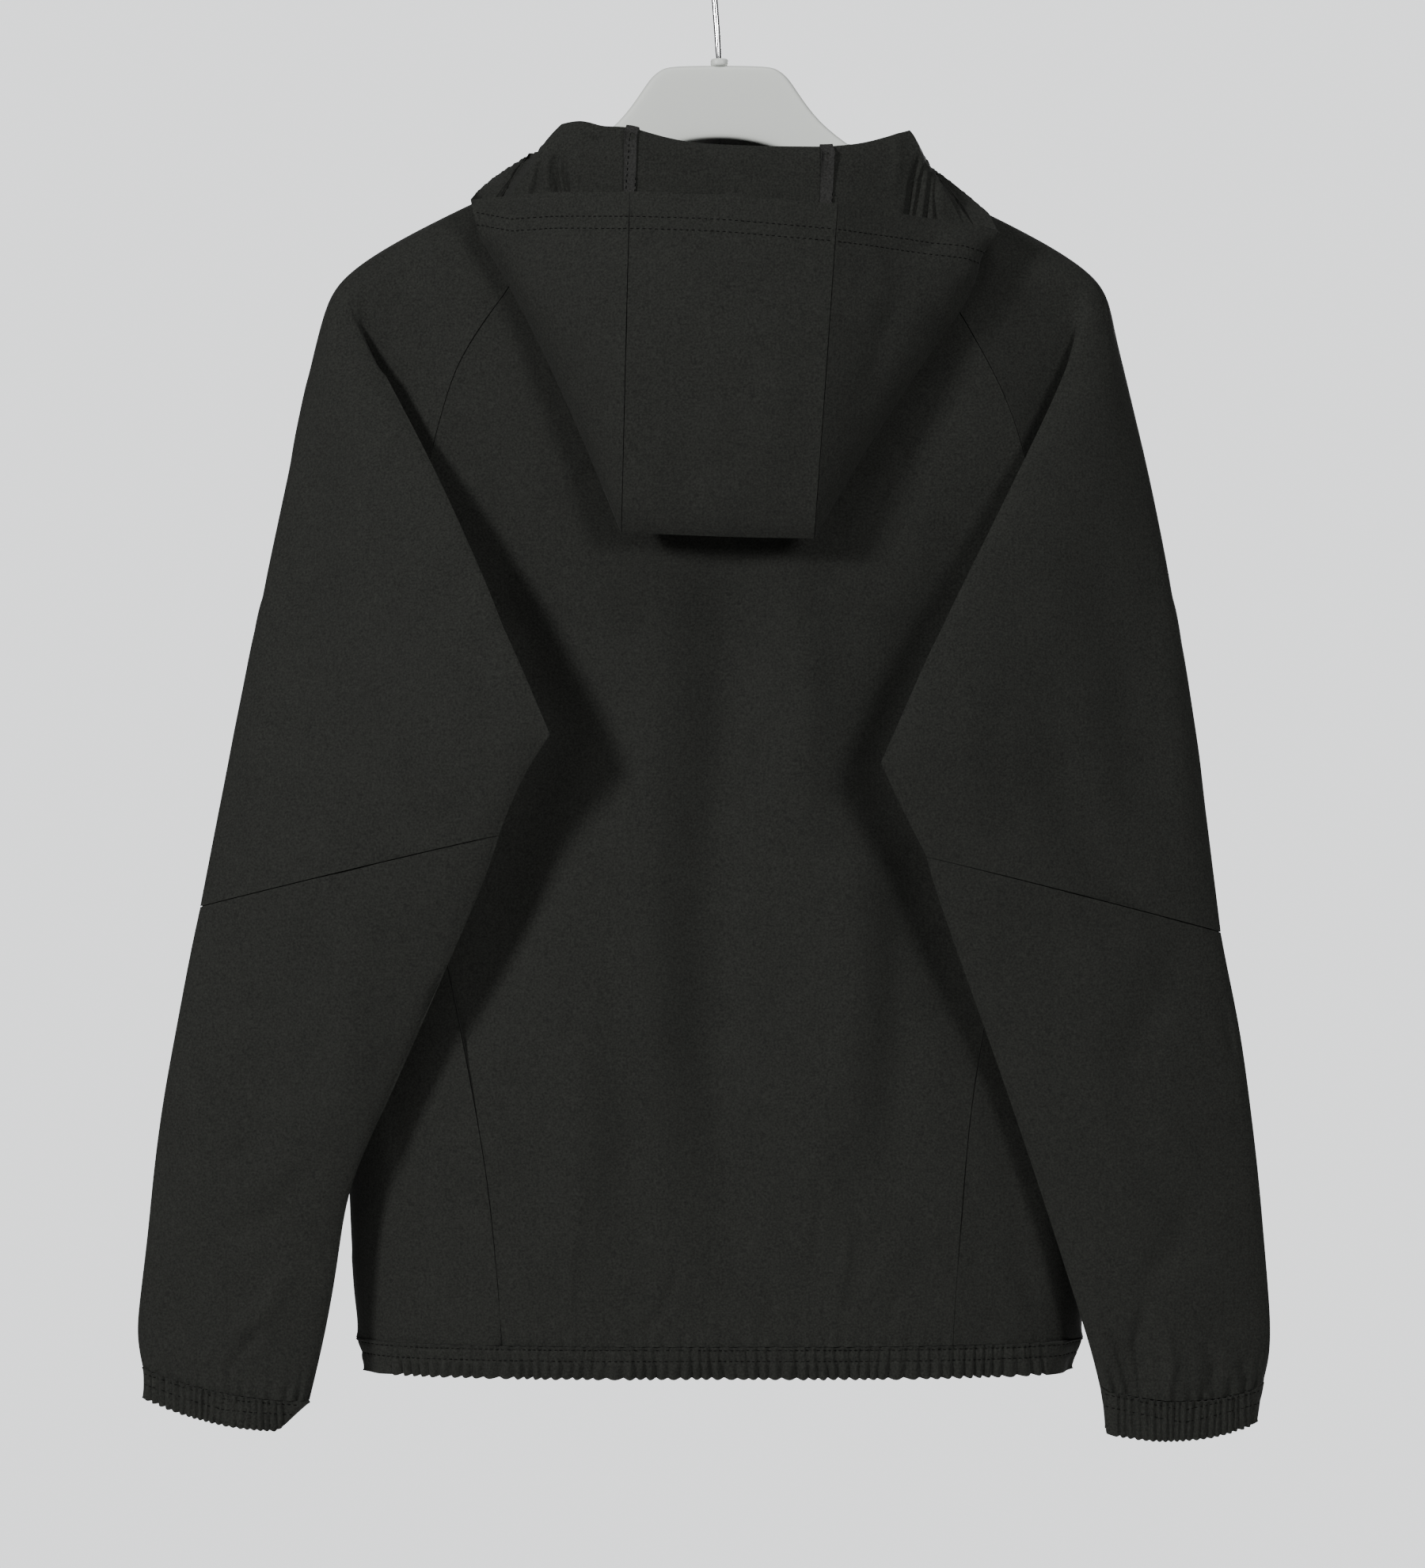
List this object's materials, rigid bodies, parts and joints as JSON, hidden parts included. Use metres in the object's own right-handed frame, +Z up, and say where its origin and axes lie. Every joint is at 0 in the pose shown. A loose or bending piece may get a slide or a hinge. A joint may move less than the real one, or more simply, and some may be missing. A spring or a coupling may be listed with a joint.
{
  "type": "hooded windbreaker jacket on a clothes hanger",
  "caption": "Hooded raglan windbreaker with elastic hem and cuffs, hung on a plastic clothes hanger by its wire hook, sleeves folded over the back.",
  "frame": {"origin": "inside of the hanger hook's bend at its top, where the hook rests on its rail", "axes": "+Z up, +Y to the jacket's front, +X to the wearer's right sleeve, so the back faces -Y"},
  "size_m": [0.6608, 0.1522, 0.908],
  "materials": {
    "back_panel": "matte woven",
    "cuff_left": "matte woven, gathered",
    "cuff_right": "matte woven, gathered",
    "front_left": "matte woven",
    "front_right": "matte woven",
    "hanger_body": "moulded",
    "hanger_hook": "polished wire",
    "hem_band": "matte woven, gathered",
    "hood_centre": "matte woven",
    "hood_side_left": "matte woven",
    "hood_side_right": "matte woven",
    "hood_tape_left": "satin binding",
    "hood_tape_right": "satin binding",
    "side_panel_left": "matte woven",
    "side_panel_right": "matte woven",
    "sleeve_lower_left": "matte woven",
    "sleeve_lower_right": "matte woven",
    "sleeve_upper_left": "matte woven",
    "sleeve_upper_right": "matte woven",
    "zip_chain": "moulded",
    "zip_pull_tab": "moulded",
    "zip_slider": "moulded",
    "zip_tape_left": "knitted tape",
    "zip_tape_right": "knitted tape"
  },
  "bodies": {
    "jacket": {"back_panel": "back_panel", "cuff_left": "cuff_left", "cuff_right": "cuff_right", "front_left": "front_left", "front_right": "front_right", "hanger_body": "hanger_body", "hanger_hook": "hanger_hook", "hem_band": "hem_band", "hood_centre": "hood_centre", "hood_side_left": "hood_side_left", "hood_side_right": "hood_side_right", "hood_tape_left": "hood_tape_left", "hood_tape_right": "hood_tape_right", "side_panel_left": "side_panel_left", "side_panel_right": "side_panel_right", "sleeve_lower_left": "sleeve_lower_left", "sleeve_lower_right": "sleeve_lower_right", "sleeve_upper_left": "sleeve_upper_left", "sleeve_upper_right": "sleeve_upper_right", "zip_chain": "zip_chain", "zip_slider": "zip_slider", "zip_tape_left": "zip_tape_left", "zip_tape_right": "zip_tape_right"},
    "pull_tab": {"zip_pull_tab": "zip_pull_tab"}
  },
  "joints": [
    {"name": "pull_tab_swing", "type": "hinge", "parent": "jacket", "child": "pull_tab", "pos_m": [0, 0.0548, -0.155], "axis": [1, 0, 0], "range_deg": [0, 150]}
  ]
}
